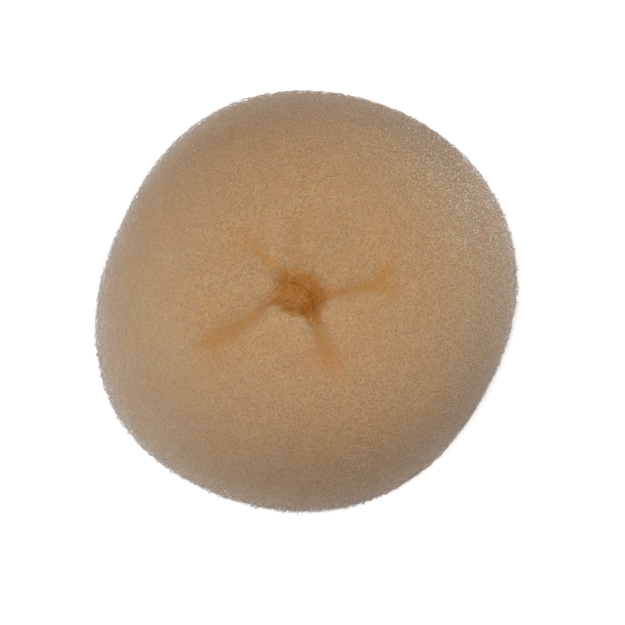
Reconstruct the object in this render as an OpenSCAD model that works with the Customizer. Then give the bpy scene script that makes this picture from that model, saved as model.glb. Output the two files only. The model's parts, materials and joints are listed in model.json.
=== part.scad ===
// Soft ring of springy foam that a hair bun is dressed over, lying flat as it rests.
// It is one solid, thick and full, with its hole pinched nearly shut. Five pleats run out
// from the hole over the crown, and the same pleats show fainter on the underside.

/* [Ring] */
// Mean diameter over the outside
ring_d = 90.7; // [70:0.1:110]
// Height of the foam as it lies
ring_h = 38; // [30:0.5:44]
// Width of the throat between its lobes
throat_w = 6.4; // [6.4:0.2:12]

/* [Foam] */
// Fullness of the outer shoulder, where 2 is a plain ellipse
shoulder_fullness = 2.3; // [2:0.1:3]
// Fullness of the lip around the hole
lip_fullness = 4.8; // [2:0.1:6]
// Fullness of the underside around the hole
heel_fullness = 5; // [2:0.1:6]
// How much of the round section the flat seat cuts away
seat_depth = 1.5; // [0.5:0.1:3]

/* [Pleats] */
// Depth of the pleats, as a share of the table's depths
pleat_strength = 1; // [0:0.05:1.2]
// Depth down in the throat, as a share of the depth on the crown
throat_share = 0.6; // [0:0.05:1]
// Depth on the underside, as a share of the depth on the crown
underside_share = 0.45; // [0:0.05:1]

/* [Mesh] */
// Columns around the ring
columns = 88; // [48:4:100]
// Rows around the section
rows = 54; // [32:2:60]

/* [Hidden] */

// Bulges and flats of the outline: direction from +X and half spread in degrees, and in
// millimetres the push outwards and the lift of the crown there.
DIRECTION = 0;
PUSH = 1;
LIFT = 2;
SPREAD = 3;
bulges = [
    [ 30,  1.1,  0.0, 36],
    [105,  0.4, -0.4, 20],
    [156, -2.4, -0.6, 26],
    [215,  2.1,  0.0, 25],
    [268,  0.2, -0.4, 24],
    [332, -2.0, -0.7, 28],
];

// Pleats: direction at the hole and turn on the way out in degrees, then in millimetres the
// reach from the hole's axis, the depth, and the half width at the hole and at the far end.
HEADING = 0;
TURN = 1;
REACH = 2;
DEPTH = 3;
NEAR_W = 4;
FAR_W = 5;
pleats = [
    [210,   4, 28, 2.0, 1.1, 3.4],
    [-23,  34, 23, 1.6, 0.9, 2.4],
    [282,   5, 24, 1.9, 1.3, 3.0],
    [151,  -3, 19, 0.9, 1.4, 2.6],
    [104,  -8, 18, 0.7, 1.2, 2.4],
];
// Share of a pleat's length over which it keeps its whole depth
pleat_full_share = 0.45;
// Height above the ring's middle, as a share of the half height, where a pleat is at its full
// depth again after the throat
throat_reach = 0.75;

throat_r = throat_w / 2;
half_h = (ring_h + seat_depth) / 2;
middle_z = ring_h - half_h;
// The mesh's rows lie closest together at this angle, on the upper lip, by this swing
lip_at = 146;
row_swing = 18;

function total(list) = list * [for (entry = list) 1];
function bell(x) = exp(-x * x);
function ease(x) = let (t = min(1, max(0, x))) t * t * (3 - 2 * t);
function blend(low, high, share) = low + (high - low) * share;
function turn_to(from, to) = (to - from + 900) % 360 - 180;

// One column of the bulges, added up in a direction
function swell(direction, column) = total([
    for (row = bulges) row[column] * bell(turn_to(row[DIRECTION], direction) / row[SPREAD])
]);
function outer_r(direction) = ring_d / 2 + swell(direction, PUSH);

// How deep one pleat is at a place given by direction and distance from the hole's axis
function pleat_dip(row, direction, r) =
    let (
        along = min(1, r / row[REACH]),
        aside = direction - row[HEADING] - row[TURN] * along,
        half_w = blend(row[NEAR_W], row[FAR_W], along),
        fade = 1 - ease((along - pleat_full_share) / (1 - pleat_full_share))
    )
    cos(aside) > 0 ? row[DEPTH] * fade * bell(r * sin(aside) / half_w) : 0;
function dip(direction, r) =
    pleat_strength * total([for (row = pleats) pleat_dip(row, direction, r)]);

// The section's angle runs from the outside over the crown, down the throat and back below
function fullness(angle) =
    cos(angle) > 0 ? shoulder_fullness : sin(angle) > 0 ? lip_fullness : heel_fullness;
function dip_share(v) =
    blend(throat_share, v > 0 ? 1 : underside_share, ease(abs(v) / throat_reach));

// One point of the foam's skin, by its direction around the ring and its section angle
function skin_point(direction, angle) =
    let (
        full = fullness(angle),
        middle_r = (outer_r(direction) + throat_r) / 2,
        half_w = (outer_r(direction) - throat_r) / 2,
        stretch = pow(pow(abs(cos(angle)), full) + pow(abs(sin(angle)), full), -1 / full),
        u = stretch * cos(angle),
        v = stretch * sin(angle),
        slope_r = sign(u) * pow(abs(u), full - 1) / half_w,
        slope_z = sign(v) * pow(abs(v), full - 1) / half_h,
        steepness = norm([slope_r, slope_z]),
        round_r = middle_r + half_w * u,
        round_z = middle_z + half_h * v + swell(direction, LIFT) * max(0, v),
        depth = dip(direction, round_r) * dip_share(v),
        r = round_r - depth * slope_r / steepness,
        z = round_z - depth * slope_z / steepness
    )
    [r * cos(direction), r * sin(direction), max(0, z)];

function section_angle(j) =
    let (even = 360 * j / rows) even + row_swing * sin(even - lip_at + 180);

skin = [
    for (i = [0:columns - 1])
        for (j = [0:rows - 1])
            skin_point(360 * i / columns, section_angle(j))
];
function corner(i, j) = (i % columns) * rows + j % rows;
skin_faces = [
    for (i = [0:columns - 1])
        for (j = [0:rows - 1])
            let (
                a = corner(i, j),
                b = corner(i + 1, j),
                c = corner(i + 1, j + 1),
                d = corner(i, j + 1)
            )
            each [[a, c, b], [a, d, c]]
];

// The ring stands with the middle of its bounding box over the origin
function box_middle(axis) =
    let (side = [for (p = skin) p[axis]]) (min(side) + max(side)) / 2;
hole_x = -box_middle(0);
hole_y = -box_middle(1);

module donut_ring() {
    color([0.72, 0.56, 0.41])
        translate([hole_x, hole_y, 0])
            polyhedron(points = skin, faces = skin_faces, convexity = 6);
}

donut_ring();
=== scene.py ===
"""Foam hair donut: the soft ring, its open-celled skin and the stage it is shown on.

Laid out as an add-on with one operator for each piece, and run as a script.
"""
import json
import math

import bmesh
import bpy
import numpy as np
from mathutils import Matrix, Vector, noise
from mathutils.geometry import delaunay_2d_cdt

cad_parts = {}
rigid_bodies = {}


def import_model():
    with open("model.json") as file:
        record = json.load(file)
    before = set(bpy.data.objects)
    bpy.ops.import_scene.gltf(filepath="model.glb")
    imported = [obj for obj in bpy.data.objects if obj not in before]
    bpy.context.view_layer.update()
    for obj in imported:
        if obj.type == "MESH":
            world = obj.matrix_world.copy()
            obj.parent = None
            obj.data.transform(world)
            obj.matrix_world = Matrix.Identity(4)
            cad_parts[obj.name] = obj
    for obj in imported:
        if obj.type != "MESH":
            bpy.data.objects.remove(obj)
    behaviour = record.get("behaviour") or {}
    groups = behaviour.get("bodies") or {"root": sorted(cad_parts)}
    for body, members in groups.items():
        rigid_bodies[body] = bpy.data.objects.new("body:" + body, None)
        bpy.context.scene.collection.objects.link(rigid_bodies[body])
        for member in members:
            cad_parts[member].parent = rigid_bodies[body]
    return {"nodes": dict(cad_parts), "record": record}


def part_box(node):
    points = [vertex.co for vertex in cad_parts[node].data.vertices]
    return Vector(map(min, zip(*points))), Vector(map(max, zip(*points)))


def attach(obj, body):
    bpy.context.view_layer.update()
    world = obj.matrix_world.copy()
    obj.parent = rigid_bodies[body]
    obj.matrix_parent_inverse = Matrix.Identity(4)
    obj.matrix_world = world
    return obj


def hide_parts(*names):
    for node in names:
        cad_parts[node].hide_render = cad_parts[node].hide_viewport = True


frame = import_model()

bl_info = {
    "name": "Foam Hair Donut",
    "version": (1, 0, 0),
    "blender": (4, 5, 0),
    "location": "View3D > Sidebar > Hair Donut",
    "description": "Models a pleated foam hair donut with an open-celled skin",
    "category": "Object",
}

MM = 0.001
TINY = 1e-9
RING = "donut_ring"
RING_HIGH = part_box(RING)[1]
RING_HEIGHT = RING_HIGH.z
# A point on the hole's axis, which the record's second mount gives
HOLE = Vector(frame["record"]["mounts"][1]["pos_m"])
THROAT_RADIUS = 3.2 * MM
# The ring's section goes round this point, given as a distance from the hole's axis and a height
SPINE = ((RING_HIGH.x + THROAT_RADIUS) / 2, 0.48 * RING_HEIGHT)
SEED = 7

# Pleats and fine creases in the crown: the points they run through, seen from above in
# millimetres from the hole's axis, then in millimetres how deep they go and their half width at
# both ends. The last number is how strongly a painted glow of light scattered in the creases tints them.
PLEAT_COLUMNS = ("points", "depth", "near_width", "far_width", "painted_glow")
PLEATS = [
    dict(zip(PLEAT_COLUMNS, row))
    for row in (
        (((-8.2, -4.4), (-10.4, -6.8), (-13.4, -8.9), (-16.8, -10.9), (-19.5, -13.0), (-24.0, -16.2)),
         0.2, 1.1, 3.2, 0.9),
        (((4.5, -2.2), (5.7, -1.9), (9.1, -1.6), (11.8, -0.9), (14.2, -0.7), (15.9, 1.5), (17.6, 4.3),
          (19.2, 7.2)), 0.15, 0.8, 2.2, 1.0),
        (((12.0, -0.9), (14.2, -0.9), (17.9, -1.9), (20.6, -2.7)), 0.1, 1.2, 1.9, 0.9),
        (((0.0, -5.8), (1.0, -6.4), (1.9, -7.6), (2.6, -10.5), (4.0, -14.0), (5.7, -17.5), (7.0, -22.5)),
         0.2, 0.9, 3.0, 0.94),
        (((2.4, -11.0), (1.9, -15.4), (4.5, -19.5)), 0.0, 1.6, 2.8, 0.4),
        (((-4.6, 2.6), (-6.6, 3.7), (-9.3, 5.8), (-11.7, 8.5), (-14.6, 12.0)), 0.0, 0.8, 1.8, 0.58),
        (((-1.6, 3.2), (-2.4, 8.1), (-2.2, 11.6), (-1.7, 16.0)), 0.0, 1.2, 1.5, 0.45),
        (((0.2, -6.1), (-2.6, -5.9), (-4.6, -5.2), (-5.9, -3.9), (-8.2, -4.4)), 0.4, 0.5, 0.5, 0.0),
    )
]

# Share of a pleat's length over which it keeps its whole strength
PLEAT_FULL = 0.6
# Pleats set in between these heights, as shares of the ring's height
PLEAT_HEIGHTS = (0.5, 0.8)
# How ragged the edges of the warm places are, as a share of their strength
RAGGED = 0.8
# Waves that make edges wander, as turns along X and Y in radians a millimetre, then how much they
# widen and narrow a pleat, as a share, and how far in millimetres they move the basin's edge
WAVES = ((2.3, 1.1), (-1.4, 2.6), (3.9, -3.1))
PLEAT_WANDER = 0.4
BASIN_WANDER = 0.35

# Outline of the basin round the hole, warm and dark with painted shade, seen from above, in
# millimetres from the hole's axis, then in millimetres half the width of its soft edge and how deep it lies
BASIN = (
    (-5.8, 2.5), (-4.2, 3.1), (-1.5, 2.9), (1.2, 2.6), (3.1, 0.7), (5.1, -1.8), (4.7, -3.2),
    (3.6, -4.9), (3.1, -6.3), (3.0, -8.4), (1.5, -8.2), (0.8, -7.2), (-0.6, -6.8), (-2.8, -6.6),
    (-4.9, -5.6), (-6.1, -4.2), (-8.3, -4.5), (-6.7, -2.4), (-6.2, 0.0),
)
BASIN_EDGE = 1.4
BASIN_DEPTH = 0.4
# Lines along which the basin is deepest and darkest with painted shade: points as above, half width, and how
# strong that shade is
DEEP_LINES = (
    (((-2.6, 0.8), (-0.7, -0.5), (1.2, -2.2)), 0.8, 0.6),
    (((1.1, -1.8), (1.3, -3.1), (0.6, -4.8), (-0.3, -5.8)), 1.5, 0.9),
    (((0.2, -5.9), (-2.6, -5.7), (-4.6, -5.0), (-5.9, -3.8), (-8.2, -4.3)), 0.7, 0.5),
)

# The throat's lips draw together to a bowed slit. Seen from above, in millimetres: the slit's
# middle from the hole's axis, half its length and how far its ends bow back. Then the direction it
# runs in, in degrees, and the throat's radius in millimetres before it is drawn together.
SLIT_MIDDLE = (1.1, -1.9)
SLIT_HALF_LENGTH = 3.3
SLIT_BOW = 1.5
SLIT_DIRECTION = -60
OPEN_RADIUS = 6.0
# In millimetres, the height up to which the lips are shut, how far down they stay shut, how far
# above and below that they give, and the distances from the hole's axis over which they ease off
SLIT_HEIGHT = 33.2
SHUT_DEPTH = 1.2
LIP_ABOVE = 1.5
LIP_BELOW = 3.5
THROAT_REACH = (8, 11)
# How far the net of cells stays from the slit, in millimetres, where the slit's line is taken to run
# on past its ends, to this share of half its length
SLIT_BARE = 0.9
SLIT_RUN = 1.3

# Sides of the ring with painted glints, as pale specks with painted shade between, where its
# grain is faint, and where a painted sheen makes its rim palest. Each has a direction and spread
# in degrees, and the distances from the hole's axis, in millimetres, over which it sets in.
GLINT_SIDE = (36, 36, 22, 38)
FAINT = (192, 62, 16, 34)
# Side where a painted sheen makes the rim palest
RIM_SHEEN = (152, 48, 34, 45)
# Directions and spreads in degrees of the sides where the foam is cut smoother, how much less its
# net stands out there, and the distances in millimetres over which a painted shade darkens them
SMOOTHER = ((70, 32), (316, 32))
SMOOTHER_SHARE = 0.5
SMOOTHER_REACH = (33, 42)
# Direction in degrees, on both sides, in which a painted sheen makes the foam palest towards the outside
SIDE_SHEEN_DIRECTION = 14.5
# Distances from the hole's axis in millimetres over which a painted shade and sheen make the foam darker and
# greyer
LIMB_SHADE_REACH = (14, 44)
# Half height, in degrees round the section, of the belt in which long cut ends stick out, paler with
# a painted sheen, and how much deeper in millimetres the body lies there
FRAYED = 42
FRAYED_DEPTH = 0.15

# The hole's mouth is cut finer within the first of these distances from its axis, and evened out
# within the second, in so many passes, both above this height
REFINED_RADIUS = 9.5 * MM
SOFTENED_RADIUS = 8 * MM
MOUTH_HEIGHT = 24 * MM
SOFTENING_PASSES = 14
# Frames for which the body is blown full
CLOTH_FRAMES = 20

# Basin shares from which the body and the net take the basin's material, and up to which cut ends
# and scraps grow
BASIN_MATERIAL_FROM = 0.4
BARE_FROM = 0.3
# Nothing grows below this height
SEAT_BARE = 1.5 * MM
# Points strewn for each square of the spacing, of which those too close are dropped
STREWN_DENSITY = 6
# How far out the net's corners are moved, in millimetres: least and most everywhere, and in the belt
NET_LIFT = (-0.15, 0.42)
BELT_LIFT = (-0.1, 0.75)
# Size in metres of the tufts in which the net and its ends stand out, and by how much
TUFT_SIZE = 1.1 * MM
TUFT_SHARE = 0.9
# Weight with which cut ends and scraps grow outside their own side of the ring, where it is 1 more
ELSEWHERE = 0.2
# Cut ends: how far they lean, as a share of their length, then in millimetres their least length
# and how much longer they may be, everywhere and in the belt, then how wide their tips are, as a
# share of their roots, and the least height of a tip in metres
END_LEAN = 0.55
END_LENGTH = 0.25
END_LONGER = 0.3
END_LONGER_IN_BELT = 0.6
END_TAPER = 0.6
LOWEST_TIP = 0.05 * MM
# Scraps: how far they lean, their least and greatest size in metres, how high they sit and how
# thick they are, and the three corners of their outer face
SCRAP_LEAN = 0.25
SCRAP_SIZES = (0.07 * MM, 0.16 * MM)
SCRAP_HEIGHT = 0.1 * MM
SCRAP_THICKNESS = 0.05 * MM
SCRAP_CORNERS = ((1, 0), (-0.5, 0.87), (-0.5, -0.87))

# Sizes of the patterns in the foam's colour, in metres
PORE_SIZE = 0.55 * MM
BLOTCH_SIZE = 9 * MM
BIT_SIZE = 0.38 * MM
SPECK_GROUP_SIZE = 2.2 * MM
# Ramps in the materials: the values between which a ramp runs, and what it gives at both
RAMPS = {
    "pore_depth": (0.2, 0.65, 1, 0),
    "pore_mottle": (0, 1, 0.9, 0),
    "pore_height": (0, 1, 1, 0),
    "pore_where_faint": (0, 1, 1, 0.3),
    "blotch": (0.35, 0.65, 0, 1),
    "basin_mottle": (0, 1, 0.86, 1.14),
    "even_where_faint": (0, 1, 0, 0.72),
    "gap_shade": (0.42, 0.1, 0, 0.9),
    "glint_side_speck_group": (0.36, 0.58, 0.55, 1),
    "stray_speck_group": (0.65, 0.73, 0, 0.7),
    "floor_glow": (0.1, 0.6, 0.15, 0),
}
# Bits whose chance lies above the speckless share turn to specks of painted glint, over this much of a ramp
SPECK_EDGE = 0.15

# Width of the floor in metres, and how strong the even light from all round is
FLOOR_SIZE = 12
WORLD_STRENGTH = 0.16
# Lights: heading and height in degrees as seen from the ring, distance, width and height in
# metres, power in watts, and whether they light the foam or only glint on it
LAMP_COLUMNS = ("name", "heading", "height", "distance", "wide", "tall", "power", "lights")
LAMPS = [
    dict(zip(LAMP_COLUMNS, row))
    for row in (
        ("window", 213, 76.5, 1.0, 0.7, 0.7, 14.6, True),
        ("side_lamp", 30, 28, 0.8, 0.1, 0.1, 2.0, True),
        ("glint", 42, 35, 0.8, 0.18, 0.6, 8, False),
        ("low_glint", 14, 35, 0.8, 0.18, 0.6, 5, False),
    )
]
# The camera's distance from what it aims at, and how far that lies from the ring's middle
CAMERA_DISTANCE = 0.318
CAMERA_AIM = Vector((1.25, -3.1, -0.5)) * MM


class DonutShape(bpy.types.PropertyGroup):
    """Sizes of the soft ring and of its open cells."""

    voxel: bpy.props.FloatProperty(
        name="Voxel", description="Remesh size of the soft body", default=1.4 * MM, unit="LENGTH"
    )
    pressure: bpy.props.FloatProperty(
        name="Pressure", description="How hard the foam is blown full", default=4.0, min=0.0
    )
    most_swell: bpy.props.FloatProperty(
        name="Most Swell", description="Farthest that a point may move", default=0.5 * MM, unit="LENGTH"
    )
    skin: bpy.props.FloatProperty(
        name="Skin", description="Depth of the open cells over the body", default=0.45 * MM, unit="LENGTH"
    )
    cell: bpy.props.FloatProperty(
        name="Cell", description="Least distance between two open cells", default=0.64 * MM, unit="LENGTH"
    )
    strut: bpy.props.FloatProperty(
        name="Strut", description="Thickness of a cell's struts", default=0.1 * MM, unit="LENGTH"
    )
    ends: bpy.props.IntProperty(
        name="Strut Ends", description="How many cut ends stick out", default=28000, min=0
    )
    scraps: bpy.props.IntProperty(
        name="Wall Scraps", description="How many glossy scraps of cell wall are left", default=9000, min=0
    )


def colour_prop(name, description, default):
    return bpy.props.FloatVectorProperty(
        name=name, description=description, subtype="COLOR", default=default, min=0, max=2
    )


class FoamLook(bpy.types.PropertyGroup):
    """Colours of the foam."""

    body: colour_prop("Body", "Foam between its pores", (0.39, 0.238, 0.107))
    blotch: colour_prop("Blotch", "Faint blotches on the foam", (0.38, 0.243, 0.118))
    # Painted shade down in the pores
    pore_shade: colour_prop("Pore", "Down in the pores", (0.307, 0.178, 0.072))
    # Painted glow and shade of light scattered down in the pleats
    pleat: colour_prop("Pleat", "Down in the pleats", (0.37, 0.178, 0.05))
    # Painted shade and glow of light scattered through the foam, down in the hole
    throat: colour_prop("Throat", "Down in the hole", (0.27, 0.114, 0.029))
    # Painted shade where the hole is deepest
    deep: colour_prop("Deep", "Where the hole is deepest", (0.205, 0.069, 0.009))
    # Painted shade and sheen: darker and greyer towards the outside
    limb_shade_sheen: colour_prop("Belt", "Tint of the foam towards the outside", (0.655, 0.672, 0.78))
    # Painted sheen towards the outside on the two sides it faces
    side_sheen: colour_prop("Haze", "Tint towards the outside where it is palest", (0.85, 0.97, 1.27))
    # Painted shade towards the outside on the sides where the foam is cut smoother
    smooth: colour_prop("Smooth", "Tint towards the outside where it is cut smoother", (0.615, 0.645, 0.775))
    # Painted sheen on the rim's palest side
    rim_sheen: colour_prop("Rim", "Tint of the rim on its palest side", (0.88, 1.09, 1.66))
    # Painted sheen on the outermost belt
    outermost_sheen: colour_prop("Outermost", "Further tint of the outermost belt", (1.01, 1.09, 1.29))
    strut_dark: colour_prop("Strut Dark", "Darkest struts", (0.296, 0.167, 0.071))
    strut_pale: colour_prop("Strut Pale", "Palest struts", (0.49, 0.307, 0.16))
    # Painted glints: pale specks that stand in for highlights
    glint_speck: colour_prop("Speck", "Pale specks where the foam is rubbed", (1.0, 0.78, 0.52))
    end_dark: colour_prop("End Dark", "Darkest cut ends", (0.31, 0.182, 0.087))
    end_pale: colour_prop("End Pale", "Palest cut ends", (0.5, 0.335, 0.19))
    # Painted sheen on the cut ends round the outside
    frost_sheen: colour_prop("Frost", "Cut ends round the outside", (0.54, 0.425, 0.28))


class StageSetup(bpy.types.PropertyGroup):
    """How the ring is looked at and lit."""

    elevation: bpy.props.FloatProperty(
        name="Elevation",
        description="Camera angle above the floor",
        default=math.radians(80),
        subtype="ANGLE",
    )


def deselect_all():
    for thing in bpy.context.view_layer.objects:
        thing.select_set(False)


def make_active(thing):
    deselect_all()
    thing.select_set(True)
    bpy.context.view_layer.objects.active = thing


def apply_all(thing):
    make_active(thing)
    for modifier in list(thing.modifiers):
        bpy.ops.object.modifier_apply(modifier=modifier.name)


def copy_of(thing, name):
    twin = thing.copy()
    twin.data = thing.data.copy()
    twin.name = twin.data.name = name
    bpy.context.scene.collection.objects.link(twin)
    return twin


def vectors(items, field):
    flat = np.empty(len(items) * 3)
    items.foreach_get(field, flat)
    return flat.reshape(-1, 3)


def places_of(mesh):
    return vectors(mesh.vertices, "co")


def normals_of(mesh):
    return vectors(mesh.vertex_normals, "vector")


def put_places(mesh, places):
    mesh.vertices.foreach_set("co", places.ravel())
    mesh.update()


def ease(x):
    t = np.clip(x, 0, 1)
    return t * t * (3 - 2 * t)


def bell(x):
    return np.exp(-x * x)


def around_hole(places):
    """Distance from the hole's axis in millimetres, and direction in degrees."""
    x, y = places[:, 0] - HOLE.x, places[:, 1] - HOLE.y
    return np.hypot(x, y) / MM, np.degrees(np.arctan2(y, x))


def section_angle(places):
    """Angle round the ring's section in radians, from the outside over the crown."""
    r, _ = around_hole(places)
    return np.arctan2(places[:, 2] - SPINE[1], r * MM - SPINE[0]) % (2 * math.pi)


def seen_from_above(places):
    """Places seen from above, in millimetres from the hole's axis."""
    return (places[:, :2] - (HOLE.x, HOLE.y)) / MM


def turned_from(direction, middle):
    """The turn in degrees from one direction to another, between -180 and 180."""
    return (direction - middle + 180) % 360 - 180


def eased_over(r, reach):
    """How far a distance has come over a reach given by its near and far end, from 0 to 1."""
    near, far = reach
    return ease((r - near) / (far - near))


def nearest_on_line(spots, points):
    """For spots seen from above, how far along a line its nearest point lies, and how far away."""
    points = np.array(points)
    ways = np.diff(points, axis=0)
    lengths = np.linalg.norm(ways, axis=1)
    along, least = np.zeros(len(spots)), np.full(len(spots), np.inf)
    for number, (start, way, length) in enumerate(zip(points, ways, lengths)):
        share = np.clip((spots - start) @ way / length**2, 0, 1)
        foot = start + share[:, None] * way
        distance = np.linalg.norm(spots - foot, axis=1)
        closer = distance < least
        least[closer] = distance[closer]
        along[closer] = lengths[:number].sum() + share[closer] * length
    return along / lengths.sum(), least


def wobble(spots):
    """A smooth irregular pattern between -1 and 1 over spots seen from above."""
    x, y = spots.T
    return sum(np.sin(along_x * x + along_y * y) for along_x, along_y in WAVES) / len(WAVES)


def pleat_share(pleat, places):
    """How deep in a pleat these places lie, from 0 on the open crown to 1 at its bottom."""
    spots = seen_from_above(places)
    along, aside = nearest_on_line(spots, pleat["points"])
    aside = aside * (1 + PLEAT_WANDER * wobble(spots))
    width = pleat["near_width"] + (pleat["far_width"] - pleat["near_width"]) * along
    above = eased_over(places[:, 2] / RING_HEIGHT, PLEAT_HEIGHTS)
    return above * (1 - eased_over(along, (PLEAT_FULL, 1))) * bell(aside / width)


def slit_axes():
    """Unit vectors along and across the slit, seen from above."""
    turn = math.radians(SLIT_DIRECTION)
    return np.array(((math.cos(turn), math.sin(turn)), (-math.sin(turn), math.cos(turn))))


def close_throat(places):
    """Draws the throat's lips together until they meet along a bowed slit."""
    r, _ = around_hole(places)
    near = 1 - eased_over(r, THROAT_REACH)
    along, across = slit_axes() @ (seen_from_above(places) - SLIT_MIDDLE).T
    above = places[:, 2] / MM - SLIT_HEIGHT
    share = near * np.exp(-np.maximum(0, above) / LIP_ABOVE)
    share *= bell(np.maximum(0, -above - SHUT_DEPTH) / LIP_BELOW)
    along *= 1 - share * (1 - SLIT_HALF_LENGTH / OPEN_RADIUS)
    across *= 1 - share
    across -= share * SLIT_BOW * (along / SLIT_HALF_LENGTH) ** 2
    spots = np.stack((along, across), axis=1) @ slit_axes() + SLIT_MIDDLE
    places[:, :2] = (HOLE.x, HOLE.y) + spots * MM


def from_slit(places):
    """How far places lie from the line of the slit, seen from above, in millimetres."""
    steps = 9
    along = np.linspace(-SLIT_RUN, SLIT_RUN, steps)
    line = np.stack((along * SLIT_HALF_LENGTH, -SLIT_BOW * along**2), axis=1)
    return nearest_on_line(seen_from_above(places), line @ slit_axes() + SLIT_MIDDLE)[1]


def basin_share(places):
    """How far into the basin these places lie, from 0 outside it to 1 well inside."""
    spots = seen_from_above(places)
    x, y = spots.T
    inside = np.zeros(len(places), bool)
    for (x1, y1), (x2, y2) in zip(BASIN, BASIN[1:] + BASIN[:1]):
        crosses = (y1 > y) != (y2 > y)
        inside ^= crosses & (x < x1 + (x2 - x1) * (y - y1) / (y2 - y1 or 1))
    _, distance = nearest_on_line(spots, BASIN + BASIN[:1])
    outside = np.where(inside, -distance, distance) + BASIN_WANDER * wobble(spots)
    return 1 - ease((outside + BASIN_EDGE) / (2 * BASIN_EDGE))


def towards(places, side):
    """Share of a place in a side of the ring given by direction, spread and two distances."""
    r, direction = around_hole(places)
    middle, spread, *reach = side
    return bell(turned_from(direction, middle) / spread) * eased_over(r, reach)


def smoother(places):
    """Share of a place in the sides where the foam is cut smoother, and where a painted shade darkens it."""
    _, direction = around_hole(places)
    return sum(bell(turned_from(direction, middle) / spread) for middle, spread in SMOOTHER)


def belted(places):
    """Share of a place in the belt round the outside."""
    return bell(turned_from(np.degrees(section_angle(places)), 0) / FRAYED)


def paint_shares(mesh):
    """Marks on the mesh what its materials read for their painted light and shade: how deep it lies, how far
    out and on which side.
    """
    places = places_of(mesh)
    r, direction = around_hole(places)
    shares = {
        "pleat": np.max([pleat["painted_glow"] * pleat_share(pleat, places) for pleat in PLEATS], axis=0),
        "throat": basin_share(places),
        "limb_shade_sheen": eased_over(r, LIMB_SHADE_REACH),
        "side_sheen": np.cos(np.radians(direction - SIDE_SHEEN_DIRECTION)) ** 2,
        "deep": np.max([
            depth * bell(nearest_on_line(seen_from_above(places), points)[1] / width)
            for points, width, depth in DEEP_LINES
        ], axis=0),
        "rim_sheen": towards(places, RIM_SHEEN),
        "painted_glints": towards(places, GLINT_SIDE),
        "faint": towards(places, FAINT),
        "frayed": belted(places),
        "smooth": smoother(places) * eased_over(r, SMOOTHER_REACH),
        "outermost_sheen": belted(places) ** 2,
    }
    chance = np.random.default_rng(SEED)
    for name in ("pleat", "throat", "deep"):
        share = shares[name]
        shares[name] = share + RAGGED * share * (1 - share) * chance.uniform(-1, 1, len(share))
    for name, share in shares.items():
        mesh.attributes.new(name, "FLOAT", "POINT").data.foreach_set("value", share)


def add_node(tree, kind, settings=(), values=(), links=()):
    """Adds a node with its settings, its socket values and the sockets that feed it."""
    node = tree.nodes.new(kind)
    for name, value in dict(settings).items():
        setattr(node, name, value)
    for name, value in dict(values).items():
        node.inputs[name].default_value = value
    for name, socket in dict(links).items():
        tree.links.new(socket, node.inputs[name])
    return node


def blend_colours(tree, share, first, second, way="MIX"):
    """Mixes two colours, each given as a socket or as plain numbers, by a share between 0 and 1."""
    mix = add_node(tree, "ShaderNodeMix", {"data_type": "RGBA", "blend_type": way})
    for number, colour in ((6, first), (7, second)):
        if isinstance(colour, bpy.types.NodeSocket):
            tree.links.new(colour, mix.inputs[number])
        else:
            mix.inputs[number].default_value = (*colour, 1)
    if isinstance(share, bpy.types.NodeSocket):
        tree.links.new(share, mix.inputs[0])
    else:
        mix.inputs[0].default_value = share
    return mix.outputs[2]


def ramped(tree, socket, ramp):
    """What a ramp gives for a value: the ramp runs from low to high, and gives these two there."""
    low, high, to_low, to_high = ramp
    stretch = add_node(
        tree,
        "ShaderNodeMapRange",
        values={"From Min": low, "From Max": high, "To Min": to_low, "To Max": to_high},
        links={"Value": socket},
    )
    return stretch.outputs["Result"]


def new_material(name, shine):
    """A material with these constants on its shader, and its tree, shader and Object coordinates."""
    material = bpy.data.materials.new(name)
    material.use_nodes = True
    tree = material.node_tree
    shader = tree.nodes["Principled BSDF"]
    for socket, value in shine.items():
        shader.inputs[socket].default_value = value
    where = add_node(tree, "ShaderNodeTexCoord").outputs["Object"]
    return material, tree, shader, where


def painted(tree, name):
    """The share of that name that is painted on the piece."""
    return add_node(tree, "ShaderNodeAttribute", {"attribute_name": name}).outputs["Fac"]


def both(tree, first, second, way="MULTIPLY"):
    """Two shares joined to one, as their product or in another way."""
    joined = add_node(tree, "ShaderNodeMath", {"operation": way})
    tree.links.new(first, joined.inputs[0])
    tree.links.new(second, joined.inputs[1])
    return joined.outputs[0]


def bits(tree, where, size):
    """A pattern of small bits of about this size."""
    return add_node(tree, "ShaderNodeTexVoronoi", values={"Scale": 1 / size}, links={"Vector": where})


def soft_noise(tree, where, size, detail):
    """A smooth pattern around 0.5 whose spots are about this size."""
    values = {"Scale": 1 / size, "Detail": detail}
    return add_node(tree, "ShaderNodeTexNoise", values=values, links={"Vector": where}).outputs["Fac"]


# The painted shares of light and shade that tint every material, as coloured_by_place mixes them
SHARES = ("limb_shade_sheen", "side_sheen", "smooth", "rim_sheen", "outermost_sheen", "pleat", "throat", "deep")


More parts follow.
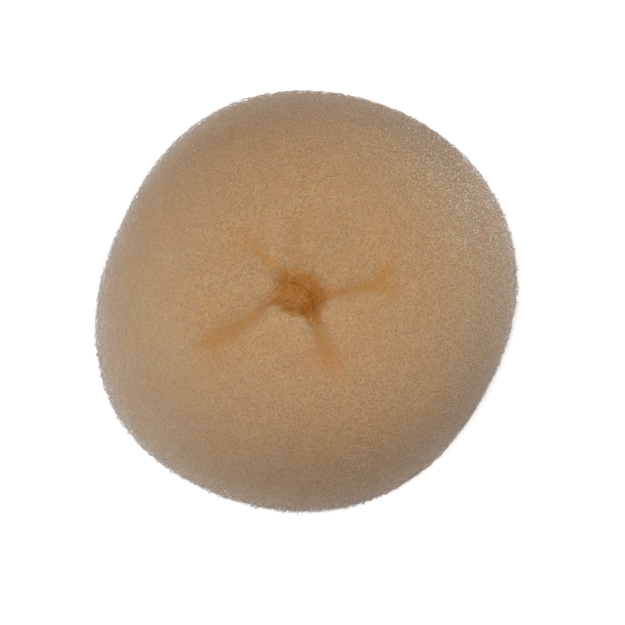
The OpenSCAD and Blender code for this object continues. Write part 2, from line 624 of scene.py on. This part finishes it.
def coloured_by_place(tree, look, colour, grain):
    """Painted shade and sheen towards the outside, painted glow in the pleats and shade down in the hole."""
    shares = {name: painted(tree, name) for name in SHARES}
    # Painted shade and sheen towards the outside: palest with painted sheen on two sides and the rim, darker
    # on the smoother sides
    tint = blend_colours(tree, shares["side_sheen"], look.limb_shade_sheen, look.side_sheen)
    tint = blend_colours(tree, shares["smooth"], tint, look.smooth)
    tint = blend_colours(tree, shares["rim_sheen"], tint, look.rim_sheen)
    # Painted sheen, further on the outermost belt
    outermost_sheen = blend_colours(tree, 1, tint, look.outermost_sheen, way="MULTIPLY")
    tint = blend_colours(tree, shares["outermost_sheen"], tint, outermost_sheen)
    colour = blend_colours(tree, shares["limb_shade_sheen"], colour, tint, way="MULTIPLY")
    # Painted glow of light scattered in the pleats
    colour = blend_colours(tree, shares["pleat"], colour, look.pleat)
    # Painted shade down in the hole, darkest along the deepest lines, with a mottle in its tone
    inside = blend_colours(tree, shares["deep"], look.throat, look.deep)
    mottle = ramped(tree, grain, RAMPS["basin_mottle"])
    inside = blend_colours(tree, 1, inside, mottle, way="MULTIPLY")
    return blend_colours(tree, shares["throat"], colour, inside)


def body_material(name, look, specular, sheen, translucency):
    """The foam below its skin: pores darkened with painted shade between paler walls, translucent and orange
    inside.
    """
    material, tree, shader, where = new_material(
        name,
        {
            "Roughness": 0.85,
            "Specular IOR Level": specular,
            "Subsurface Weight": translucency,
            "Subsurface Radius": (1.0, 0.42, 0.16),
            "Subsurface Scale": 8 * MM,
            "Sheen Weight": sheen,
            "Sheen Roughness": 0.5,
        },
    )
    pores = bits(tree, where, PORE_SIZE)
    depth = ramped(tree, pores.outputs["Distance"], RAMPS["pore_depth"])
    grain = ramped(tree, depth, RAMPS["pore_mottle"])
    depth = both(tree, depth, ramped(tree, painted(tree, "faint"), RAMPS["pore_where_faint"]))
    blotch = ramped(tree, soft_noise(tree, where, BLOTCH_SIZE, 3), RAMPS["blotch"])
    foam = blend_colours(tree, blotch, look.body, look.blotch)
    # Painted shade in the pores
    foam = blend_colours(tree, depth, foam, look.pore_shade)
    tree.links.new(coloured_by_place(tree, look, foam, grain), shader.inputs["Base Color"])
    bump = add_node(
        tree,
        "ShaderNodeBump",
        values={"Strength": 0.5, "Distance": 0.3 * MM},
        links={"Height": ramped(tree, depth, RAMPS["pore_height"])},
    )
    tree.links.new(bump.outputs["Normal"], shader.inputs["Normal"])
    return material


def strut_material(name, look, dark, pale, roughness=0.3, specular=0.45, sheen=0.05, speckless=0.77,
                   with_frost_sheen=False):
    """The cut struts of the open cells: pale, a little glossy, each a shade of its own, with painted glints
    and shade.
    """
    material, tree, shader, where = new_material(
        name,
        {
            "Roughness": roughness,
            "Specular IOR Level": specular,
            "Sheen Weight": sheen,
            "Sheen Roughness": 0.5,
        },
    )
    chances = add_node(
        tree, "ShaderNodeSeparateColor", links={"Color": bits(tree, where, BIT_SIZE).outputs["Color"]}
    )
    shade = blend_colours(tree, chances.outputs["Red"], dark, pale)
    evened = ramped(tree, painted(tree, "faint"), RAMPS["even_where_faint"])
    shade = blend_colours(tree, evened, shade, [(a + b) / 2 for a, b in zip(dark, pale)])
    # Painted sheen on the frayed ends round the outside
    if with_frost_sheen:
        shade = blend_colours(tree, painted(tree, "frayed"), shade, look.frost_sheen)
    # Painted glints as pale specks, thick on one side and in stray groups elsewhere
    painted_glints = painted(tree, "painted_glints")
    # Painted shade in the gaps between struts on the side with painted glints
    gap_shades = ramped(tree, chances.outputs["Green"], RAMPS["gap_shade"])
    shade = blend_colours(tree, both(tree, painted_glints, gap_shades), shade, look.pore_shade)
    specks = ramped(tree, chances.outputs["Green"], (speckless, speckless + SPECK_EDGE, 0, 1))
    groups = soft_noise(tree, where, SPECK_GROUP_SIZE, 2)
    thick = both(tree, painted_glints, ramped(tree, groups, RAMPS["glint_side_speck_group"]))
    stray = ramped(tree, groups, RAMPS["stray_speck_group"])
    speckled = both(tree, both(tree, thick, stray, way="MAXIMUM"), specks)
    shade = blend_colours(tree, speckled, shade, look.glint_speck)
    colour = coloured_by_place(tree, look, shade, chances.outputs["Blue"])
    tree.links.new(colour, shader.inputs["Base Color"])
    return material


def give_materials(mesh, outside, in_basin):
    """Gives a mesh one material outside the basin and the other within."""
    mesh.materials.clear()
    mesh.materials.append(outside)
    mesh.materials.append(in_basin)
    within = basin_share(vectors(mesh.polygons, "center")) > BASIN_MATERIAL_FROM
    mesh.polygons.foreach_set("material_index", within.astype(np.int32))
    mesh.update()


def refine_throat(mesh):
    """Cuts the faces round the hole's upper mouth finer, for the slit and the creases."""
    form = bmesh.new()
    form.from_mesh(mesh)
    near = []
    for face in form.faces:
        middle = face.calc_center_median()
        if (middle.xy - HOLE.xy).length < REFINED_RADIUS and middle.z > MOUTH_HEIGHT:
            near.append(face)
    edges = list({edge for face in near for edge in face.edges})
    bmesh.ops.subdivide_edges(form, edges=edges, cuts=2, use_grid_fill=True)
    form.to_mesh(mesh)
    form.free()


def soften_throat(mesh):
    """Evens out the hole's upper mouth."""
    form = bmesh.new()
    form.from_mesh(mesh)
    near = []
    for corner in form.verts:
        if (corner.co.xy - HOLE.xy).length < SOFTENED_RADIUS and corner.co.z > MOUTH_HEIGHT:
            near.append(corner)
    axes = {"use_axis_x": True, "use_axis_y": True, "use_axis_z": True}
    for _ in range(SOFTENING_PASSES):
        bmesh.ops.smooth_vert(form, verts=near, factor=0.5, **axes)
    form.to_mesh(mesh)
    form.free()


def blow_full(thing, shape):
    """Cloth pressure with gravity off, capped, so the foam stands full between its pleats."""
    start = places_of(thing.data).copy()
    cloth = thing.modifiers.new("Pressure", "CLOTH")
    cloth.settings.use_pressure = True
    cloth.settings.uniform_pressure_force = shape.pressure
    cloth.settings.effector_weights.gravity = 0
    scene = bpy.context.scene
    for step in range(CLOTH_FRAMES):
        scene.frame_set(step + 1)
    apply_all(thing)
    scene.frame_set(1)
    moved = places_of(thing.data) - start
    length = np.maximum(np.linalg.norm(moved, axis=1, keepdims=True), TINY)
    cap = np.minimum(1, shape.most_swell / length)
    put_places(thing.data, start + moved * cap)


def merge_doubles(mesh):
    """Joins the loose triangles of a CAD mesh at their corners."""
    form = bmesh.new()
    form.from_mesh(mesh)
    bmesh.ops.remove_doubles(form, verts=form.verts, dist=0.001 * MM)
    form.to_mesh(mesh)
    form.free()


def set_in(mesh, skin):
    """Draws the body in below its skin of cells, deeper in the pleats, the basin and the belt."""
    places = places_of(mesh)
    dent = sum(pleat["depth"] * pleat_share(pleat, places) for pleat in PLEATS)
    dent += FRAYED_DEPTH * belted(places)
    dent += BASIN_DEPTH * basin_share(places) * (places[:, 2] > RING_HEIGHT / 2)
    places -= normals_of(mesh) * (dent * MM + skin)[:, None]
    close_throat(places)
    places[:, 2] = np.maximum(places[:, 2], skin)
    put_places(mesh, places)


class DONUT_OT_foam_body(bpy.types.Operator):
    """Models the soft ring, blown full, pleated and flat where it rests"""

    bl_idname = "donut.foam_body"
    bl_label = "Foam Body"

    def execute(self, context):
        shape = context.scene.donut_shape
        body = copy_of(frame["nodes"][RING], "foam_body")
        merge_doubles(body.data)
        remesh = body.modifiers.new("Remesh", "REMESH")
        remesh.mode = "VOXEL"
        remesh.voxel_size = shape.voxel
        apply_all(body)
        blow_full(body, shape)
        subdivision = body.modifiers.new("Smooth", "SUBSURF")
        subdivision.levels = subdivision.render_levels = 1
        apply_all(body)
        mesh = body.data
        soften_throat(mesh)
        refine_throat(mesh)
        set_in(mesh, shape.skin)
        bpy.ops.object.shade_smooth_by_angle(angle=math.radians(50))
        look = context.scene.foam_look
        matte = body_material("foam_throat", look, specular=0.0, sheen=0.0, translucency=0.0)
        foam = body_material("foam_inside", look, specular=0.2, sheen=0.1, translucency=1.0)
        give_materials(mesh, foam, matte)
        paint_shares(mesh)
        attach(body, "root")
        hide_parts(RING)
        return {"FINISHED"}


def geometry_group(name):
    group = bpy.data.node_groups.new(name, "GeometryNodeTree")
    for way in ("INPUT", "OUTPUT"):
        group.interface.new_socket("Geometry", in_out=way, socket_type="NodeSocketGeometry")
    return group, group.nodes.new("NodeGroupInput"), group.nodes.new("NodeGroupOutput")


def scatter_group(spacing, seed):
    """Replaces a mesh by points strewn over it, no two nearer than the spacing."""
    group, start, end = geometry_group("Strewn Points")
    strew = group.nodes.new("GeometryNodeDistributePointsOnFaces")
    strew.distribute_method = "POISSON"
    strew.inputs["Distance Min"].default_value = spacing
    strew.inputs["Density Max"].default_value = STREWN_DENSITY / spacing**2
    strew.inputs["Seed"].default_value = seed
    corners = group.nodes.new("GeometryNodePointsToVertices")
    group.links.new(start.outputs[0], strew.inputs["Mesh"])
    group.links.new(strew.outputs["Points"], corners.inputs["Points"])
    group.links.new(corners.outputs[0], end.inputs[0])
    return group


def dual_group():
    """Turns a mesh of triangles into the cells round its corners."""
    group, start, end = geometry_group("Open Cells")
    dual = group.nodes.new("GeometryNodeDualMesh")
    group.links.new(start.outputs[0], dual.inputs["Mesh"])
    group.links.new(dual.outputs["Dual Mesh"], end.inputs[0])
    return group


def apply_group(thing, group):
    thing.modifiers.new(group.name, "NODES").node_group = group
    apply_all(thing)


def unrolled(places, body_places):
    """Places spread flat with little stretch: once round the hole by once round the section."""
    steps = 90
    edges = np.linspace(0, 2 * math.pi, steps + 1)
    bins = np.digitize(section_angle(body_places), edges) - 1
    body_r, _ = around_hole(body_places)
    count = np.bincount(bins, minlength=steps)
    mean_r = np.bincount(bins, body_r * MM, minlength=steps) / count
    mean_z = np.bincount(bins, body_places[:, 2], minlength=steps) / count
    run = np.hypot(np.roll(mean_r, -1) - mean_r, np.roll(mean_z, -1) - mean_z)
    way = np.concatenate(([0], np.cumsum(run / ((mean_r + np.roll(mean_r, -1)) / 2))))
    _, direction = around_hole(places)
    across = np.interp(section_angle(places), edges, way)
    return np.stack((np.radians(direction) % (2 * math.pi), across), axis=1), way[-1]


def joined_up(flat, height):
    """Triangles between points on the unrolled ring, which closes on itself both ways."""
    margin = 0.4
    width = 2 * math.pi
    copies, owners = [], []
    for right in (-1, 0, 1):
        for up in (-1, 0, 1):
            moved = flat + (right * width, up * height)
            near = (
                (moved[:, 0] > -margin)
                & (moved[:, 0] < width + margin)
                & (moved[:, 1] > -margin)
                & (moved[:, 1] < height + margin)
            )
            copies.append(moved[near])
            owners.append(np.flatnonzero(near))
    points, owner = np.concatenate(copies), np.concatenate(owners)
    corners = delaunay_2d_cdt([Vector(p) for p in points], [], [], 0, TINY)
    kept_points = np.array([tuple(v) for v in corners[0]])
    originals = np.array([group[0] for group in corners[3]])
    faces = np.array(corners[2])
    middle = kept_points[faces].mean(axis=1)
    inside = (middle >= 0).all(axis=1) & (middle[:, 0] < width) & (middle[:, 1] < height)
    return owner[originals[faces[inside]]]


def rooted_on(places, normals, chance, count, weight):
    """Some of the net's corners, with the normals there, away from the seat and the basin."""
    rooted = np.flatnonzero((places[:, 2] > SEAT_BARE) & (basin_share(places) < BARE_FROM))
    weight = weight[rooted] / weight[rooted].sum()
    rooted = chance.choice(rooted, min(count, len(rooted)), replace=False, p=weight)
    return places[rooted], normals[rooted]


def unit(ways):
    return ways / np.linalg.norm(ways, axis=1, keepdims=True)


def add_slivers(name, corners, faces, material):
    """Makes one piece of many small closed slivers of four corners each."""
    corners = np.stack(corners, axis=1)
    faces = (np.arange(len(corners))[:, None, None] * 4 + np.array(faces)).reshape(-1, 3)
    mesh = bpy.data.meshes.new(name)
    mesh.from_pydata(corners.reshape(-1, 3), [], faces)
    mesh.update()
    slivers = bpy.data.objects.new(name, mesh)
    bpy.context.scene.collection.objects.link(slivers)
    mesh.materials.append(material)
    paint_shares(mesh)
    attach(slivers, "root")


def tufts(places):
    """How far the net and its cut ends stand out: unevenly, and less where the foam is cut smoother."""
    rise = np.array([noise.noise(Vector(place) / TUFT_SIZE) for place in places])
    return (1 + TUFT_SHARE * rise) * (1 - SMOOTHER_SHARE * smoother(places))


def add_strut_ends(places, normals, chance, shape, material):
    """Cut ends that stick out of the net, each a thin spike on one of its corners."""
    root, up = rooted_on(places, normals, chance, shape.ends, ELSEWHERE + belted(places))
    way = unit(up + chance.normal(0, END_LEAN, root.shape))
    longer = END_LONGER + END_LONGER_IN_BELT * belted(root)
    length = END_LENGTH + longer * chance.uniform(0, 1, len(root))
    tip = root + way * (length * tufts(root) * MM)[:, None]
    tip[:, 2] = np.maximum(tip[:, 2], LOWEST_TIP)
    side = unit(np.cross(way, chance.normal(0, 1, root.shape))) * shape.strut * 0.5
    other = np.cross(way, side) * END_TAPER
    corners = (root - side, root + side, tip - other, tip + other)
    add_slivers("strut_ends", corners, ((0, 1, 2), (1, 0, 3), (2, 3, 0), (3, 2, 1)), material)


def add_wall_scraps(places, normals, chance, shape, material):
    """Scraps of cell wall left on the net, each a small flat glossy flake that faces outwards."""
    weight = ELSEWHERE + towards(places, GLINT_SIDE)
    root, up = rooted_on(places, normals, chance, shape.scraps, weight)
    way = unit(up + chance.normal(0, SCRAP_LEAN, root.shape))
    size = chance.uniform(*SCRAP_SIZES, (len(root), 1))
    side = unit(np.cross(way, chance.normal(0, 1, root.shape))) * size
    other = np.cross(way, side)
    root = root + way * SCRAP_HEIGHT
    corners = [root + along * side + across * other for along, across in SCRAP_CORNERS]
    corners.append(root - way * SCRAP_THICKNESS)
    add_slivers("wall_scraps", corners, ((0, 1, 2), (0, 3, 1), (1, 3, 2), (2, 3, 0)), material)


def lift_net(mesh, chance, strut):
    """Moves the net's corners out and in by chance, farther in the belt round the outside."""
    places = places_of(mesh)
    lift = chance.uniform(*NET_LIFT, len(places)) * MM
    lift += chance.uniform(*BELT_LIFT, len(places)) * belted(places) * tufts(places) * MM
    places += normals_of(mesh) * lift[:, None]
    places[:, 2] = np.maximum(places[:, 2], strut / 2)
    put_places(mesh, places)
    return places


def cut_to(mesh, wanted):
    """Leaves only the wanted faces of a mesh."""
    form = bmesh.new()
    form.from_mesh(mesh)
    form.faces.ensure_lookup_table()
    away = [form.faces[number] for number in np.flatnonzero(~wanted)]
    bmesh.ops.delete(form, geom=away, context="FACES")
    form.to_mesh(mesh)
    form.free()


class DONUT_OT_cell_net(bpy.types.Operator):
    """Models the net of open cells that makes the foam's skin, a quarter of the ring at a time"""

    bl_idname = "donut.cell_net"
    bl_label = "Cell Net"

    def execute(self, context):
        shape = context.scene.donut_shape
        body = bpy.data.objects["foam_body"]
        net = copy_of(body, "cell_net")
        net.parent = None
        net.data.materials.clear()
        apply_group(net, scatter_group(shape.cell, SEED))
        places = places_of(net.data)
        faces = joined_up(*unrolled(places, places_of(body.data)))
        net.data.clear_geometry()
        net.data.from_pydata(places, [], faces)
        apply_group(net, dual_group())
        chance = np.random.default_rng(SEED)
        places = lift_net(net.data, chance, shape.strut)
        look = context.scene.foam_look
        ends = look.end_dark, look.end_pale
        # Cut ends with painted glints, and a painted sheen round the outside
        material = strut_material("foam_ends", look, *ends, speckless=0.5, with_frost_sheen=True)
        add_strut_ends(places, normals_of(net.data), chance, shape, material)
        # Glossy scraps, speckled with painted glints
        material = strut_material("foam_scraps", look, *ends, roughness=0.4, specular=0.7, speckless=0.4)
        add_wall_scraps(places, normals_of(net.data), chance, shape, material)
        struts = look.strut_dark, look.strut_pale
        material = strut_material("foam_struts", look, *struts)
        matte = strut_material("throat_struts", look, *struts, roughness=0.9, specular=0.0, sheen=0.0)
        middles = vectors(net.data.polygons, "center")
        _, direction = around_hole(middles)
        quarter = (direction % 360 // 90).astype(int)
        off_slit = from_slit(middles) >= SLIT_BARE
        for number in range(4):
            part = copy_of(net, f"cell_net_{number + 1}")
            cut_to(part.data, (quarter == number) & off_slit)
            wires = part.modifiers.new("Struts", "WIREFRAME")
            wires.thickness = shape.strut
            wires.use_even_offset = False
            wires.use_boundary = True
            apply_all(part)
            give_materials(part.data, material, matte)
            paint_shares(part.data)
            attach(part, "root")
        bpy.data.objects.remove(net)
        return {"FINISHED"}


def add_lamp(lamp):
    """A soft light that faces the ring, from one row of the table."""
    light = bpy.data.lights.new(lamp["name"], "AREA")
    light.shape = "ELLIPSE"
    light.size = lamp["wide"]
    light.size_y = lamp["tall"]
    light.energy = lamp["power"]
    across, up = math.radians(lamp["heading"]), math.radians(lamp["height"])
    way = Vector((math.cos(across) * math.cos(up), math.sin(across) * math.cos(up), math.sin(up)))
    thing = bpy.data.objects.new(lamp["name"], light)
    thing.location = way * lamp["distance"] + Vector((0, 0, RING_HEIGHT / 2))
    thing.rotation_mode = "QUATERNION"
    thing.rotation_quaternion = (-way).to_track_quat("-Z", "Y")
    thing.visible_diffuse = lamp["lights"]
    bpy.context.scene.collection.objects.link(thing)


def floor_paint():
    """A pale matt paint that glows a little round the ring, so that the ring's shadow stays faint."""
    paint, tree, shader, where = new_material(
        "pale_floor",
        {
            "Base Color": (0.96, 0.96, 0.96, 1),
            "Roughness": 0.8,
            "Emission Color": (1, 1, 1, 1),
        },
    )
    away = add_node(tree, "ShaderNodeVectorMath", {"operation": "LENGTH"}, links={"Vector": where})
    glow = ramped(tree, away.outputs["Value"], RAMPS["floor_glow"])
    tree.links.new(glow, shader.inputs["Emission Strength"])
    return paint


def add_camera(elevation):
    """Looks at the ring from the photograph's angle."""
    lens = bpy.data.cameras.new("camera")
    lens.lens = 85
    lens.sensor_width = 36
    lens.clip_start = 0.01
    camera = bpy.data.objects.new("camera", lens)
    bpy.context.scene.collection.objects.link(camera)
    back = Vector((0, -math.cos(elevation), math.sin(elevation)))
    camera.location = Vector((0, 0, RING_HEIGHT / 2)) + CAMERA_AIM + back * CAMERA_DISTANCE
    camera.rotation_mode = "QUATERNION"
    camera.rotation_quaternion = (-back).to_track_quat("-Z", "Y")
    bpy.context.scene.camera = camera


class DONUT_OT_stage(bpy.types.Operator):
    """Sets out the pale floor, the soft lights and the camera"""

    bl_idname = "donut.stage"
    bl_label = "Stage"

    def execute(self, context):
        deselect_all()
        bpy.ops.mesh.primitive_plane_add(size=FLOOR_SIZE)
        floor = context.active_object
        floor.name = "floor"
        floor.data.materials.append(floor_paint())
        world = bpy.data.worlds.new("soft_room")
        world.use_nodes = True
        background = world.node_tree.nodes["Background"]
        background.inputs["Color"].default_value = (1, 1, 1, 1)
        background.inputs["Strength"].default_value = WORLD_STRENGTH
        context.scene.world = world
        for lamp in LAMPS:
            add_lamp(lamp)
        add_camera(context.scene.stage_setup.elevation)
        context.scene.view_settings.view_transform = "Standard"
        return {"FINISHED"}


class DONUT_PT_panel(bpy.types.Panel):
    """Lists the pieces of the hair donut"""

    bl_idname = "DONUT_PT_panel"
    bl_label = "Hair Donut"
    bl_space_type = "VIEW_3D"
    bl_region_type = "UI"
    bl_category = "Hair Donut"

    def draw(self, context):
        for operator in OPERATORS:
            self.layout.operator(operator.bl_idname)


OPERATORS = (DONUT_OT_foam_body, DONUT_OT_cell_net, DONUT_OT_stage)
GROUPS = {"donut_shape": DonutShape, "foam_look": FoamLook, "stage_setup": StageSetup}


def register():
    for name, group in GROUPS.items():
        bpy.utils.register_class(group)
        setattr(bpy.types.Scene, name, bpy.props.PointerProperty(type=group))
    for operator in OPERATORS:
        bpy.utils.register_class(operator)
    bpy.utils.register_class(DONUT_PT_panel)


def unregister():
    bpy.utils.unregister_class(DONUT_PT_panel)
    for operator in reversed(OPERATORS):
        bpy.utils.unregister_class(operator)
    for name, group in GROUPS.items():
        delattr(bpy.types.Scene, name)
        bpy.utils.unregister_class(group)


def main():
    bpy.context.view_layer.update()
    register()
    bpy.ops.donut.foam_body()
    bpy.ops.donut.cell_net()
    bpy.ops.donut.stage()


if __name__ == "__main__":
    main()
